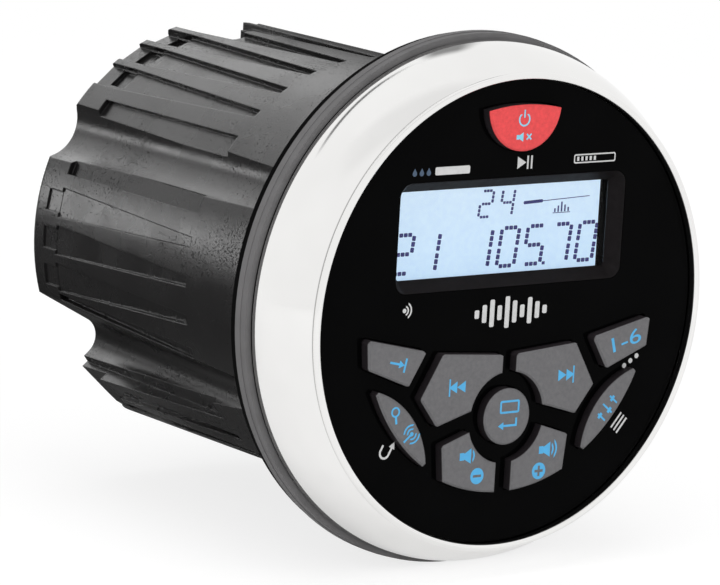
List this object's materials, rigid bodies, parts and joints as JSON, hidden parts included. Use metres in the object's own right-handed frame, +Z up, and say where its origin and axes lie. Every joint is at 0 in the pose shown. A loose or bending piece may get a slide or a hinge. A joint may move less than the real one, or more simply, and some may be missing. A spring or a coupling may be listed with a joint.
{
  "type": "marine stereo",
  "caption": "Round gauge-style boat stereo: bright bezel, black face with lit display and push keys, ribbed barrel that passes through a panel hole.",
  "frame": {"origin": "centre of the plane in which the panel gasket meets the panel", "axes": "+Y into the panel along the barrel, face towards -Y, +X to the viewer's right, +Z up"},
  "size_m": [0.1018, 0.1163, 0.1018],
  "materials": {
    "housing_plastic": "satin black moulded plastic with fine grain",
    "flange_plastic": "mid grey moulded plastic",
    "gasket_rubber": "black foam rubber",
    "bezel_chrome": "bright plated ring",
    "face_gloss": "polished black plastic",
    "seal_rubber": "black rubber",
    "surround_plastic": "satin black plastic",
    "window_clear": "clear window",
    "lcd_pane": "pale blue display glass, lit from behind",
    "light_guide": "white light guide",
    "frame_plastic": "white plastic",
    "mat_rubber": "dark silicone sheet",
    "board_laminate": "green circuit laminate",
    "switch_plastic": "black plastic",
    "screw_steel": "zinc plated steel",
    "shield_can": "tinned steel can",
    "connector_plastic": "ivory plastic",
    "chip_epoxy": "black epoxy",
    "sink_aluminium": "plain aluminium",
    "capacitor_sleeve": "dark blue sleeve",
    "coil_copper": "enamelled copper winding",
    "gland_rubber": "black rubber",
    "stud_steel": "stainless steel",
    "key_top": "grey coated silicone rubber, dark sides",
    "power_key_top": "red coated silicone rubber, dark sides",
    "plunger_plastic": "white plastic"
  },
  "bodies": {
    "case": {"rear_housing": "housing_plastic", "front_chassis": "flange_plastic", "panel_gasket": "gasket_rubber", "bezel_seal": "seal_rubber", "chrome_bezel": "bezel_chrome", "faceplate": "face_gloss", "face_seal": "seal_rubber", "display_surround": "surround_plastic", "display_window": "window_clear", "lcd_glass": "lcd_pane", "lcd_backlight": "light_guide", "lcd_frame": "frame_plastic", "keypad_mat": "mat_rubber", "front_board": "board_laminate", "key_switches": "switch_plastic", "front_board_screws": "screw_steel", "wireless_module": "shield_can", "board_connector": "connector_plastic", "main_board": "board_laminate", "amplifier_chip": "chip_epoxy", "heat_sink": "sink_aluminium", "filter_capacitors": "capacitor_sleeve", "choke_coil": "coil_copper", "tuner_module": "shield_can", "main_board_screws": "screw_steel", "housing_screws": "screw_steel", "housing_seal": "seal_rubber", "harness_gland": "gland_rubber", "signal_gland": "gland_rubber", "mounting_studs": "stud_steel"},
    "power": {"power_key": "power_key_top", "power_plunger": "plunger_plastic"},
    "source": {"source_key": "key_top", "source_plunger": "plunger_plastic"},
    "preset": {"preset_key": "key_top", "preset_plunger": "plunger_plastic"},
    "previous": {"previous_key": "key_top", "previous_plunger": "plunger_plastic"},
    "next": {"next_key": "key_top", "next_plunger": "plunger_plastic"},
    "band": {"band_key": "key_top", "band_plunger": "plunger_plastic"},
    "audio": {"audio_key": "key_top", "audio_plunger": "plunger_plastic"},
    "enter": {"enter_key": "key_top", "enter_plunger": "plunger_plastic"},
    "volume_down": {"volume_down_key": "key_top", "volume_down_plunger": "plunger_plastic"},
    "volume_up": {"volume_up_key": "key_top", "volume_up_plunger": "plunger_plastic"}
  },
  "joints": [
    {"name": "power_press", "type": "slide", "parent": "case", "child": "power", "axis": [0, 1, 0], "range_m": [0, 0.0008], "stiffness_N_per_m": 1200, "springref_m": -0.0006},
    {"name": "source_press", "type": "slide", "parent": "case", "child": "source", "axis": [0, 1, 0], "range_m": [0, 0.0008], "stiffness_N_per_m": 1200, "springref_m": -0.0006},
    {"name": "preset_press", "type": "slide", "parent": "case", "child": "preset", "axis": [0, 1, 0], "range_m": [0, 0.0008], "stiffness_N_per_m": 1200, "springref_m": -0.0006},
    {"name": "previous_press", "type": "slide", "parent": "case", "child": "previous", "axis": [0, 1, 0], "range_m": [0, 0.0008], "stiffness_N_per_m": 1200, "springref_m": -0.0006},
    {"name": "next_press", "type": "slide", "parent": "case", "child": "next", "axis": [0, 1, 0], "range_m": [0, 0.0008], "stiffness_N_per_m": 1200, "springref_m": -0.0006},
    {"name": "band_press", "type": "slide", "parent": "case", "child": "band", "axis": [0, 1, 0], "range_m": [0, 0.0008], "stiffness_N_per_m": 1200, "springref_m": -0.0006},
    {"name": "audio_press", "type": "slide", "parent": "case", "child": "audio", "axis": [0, 1, 0], "range_m": [0, 0.0008], "stiffness_N_per_m": 1200, "springref_m": -0.0006},
    {"name": "enter_press", "type": "slide", "parent": "case", "child": "enter", "axis": [0, 1, 0], "range_m": [0, 0.0008], "stiffness_N_per_m": 1200, "springref_m": -0.0006},
    {"name": "volume_down_press", "type": "slide", "parent": "case", "child": "volume_down", "axis": [0, 1, 0], "range_m": [0, 0.0008], "stiffness_N_per_m": 1200, "springref_m": -0.0006},
    {"name": "volume_up_press", "type": "slide", "parent": "case", "child": "volume_up", "axis": [0, 1, 0], "range_m": [0, 0.0008], "stiffness_N_per_m": 1200, "springref_m": -0.0006}
  ]
}
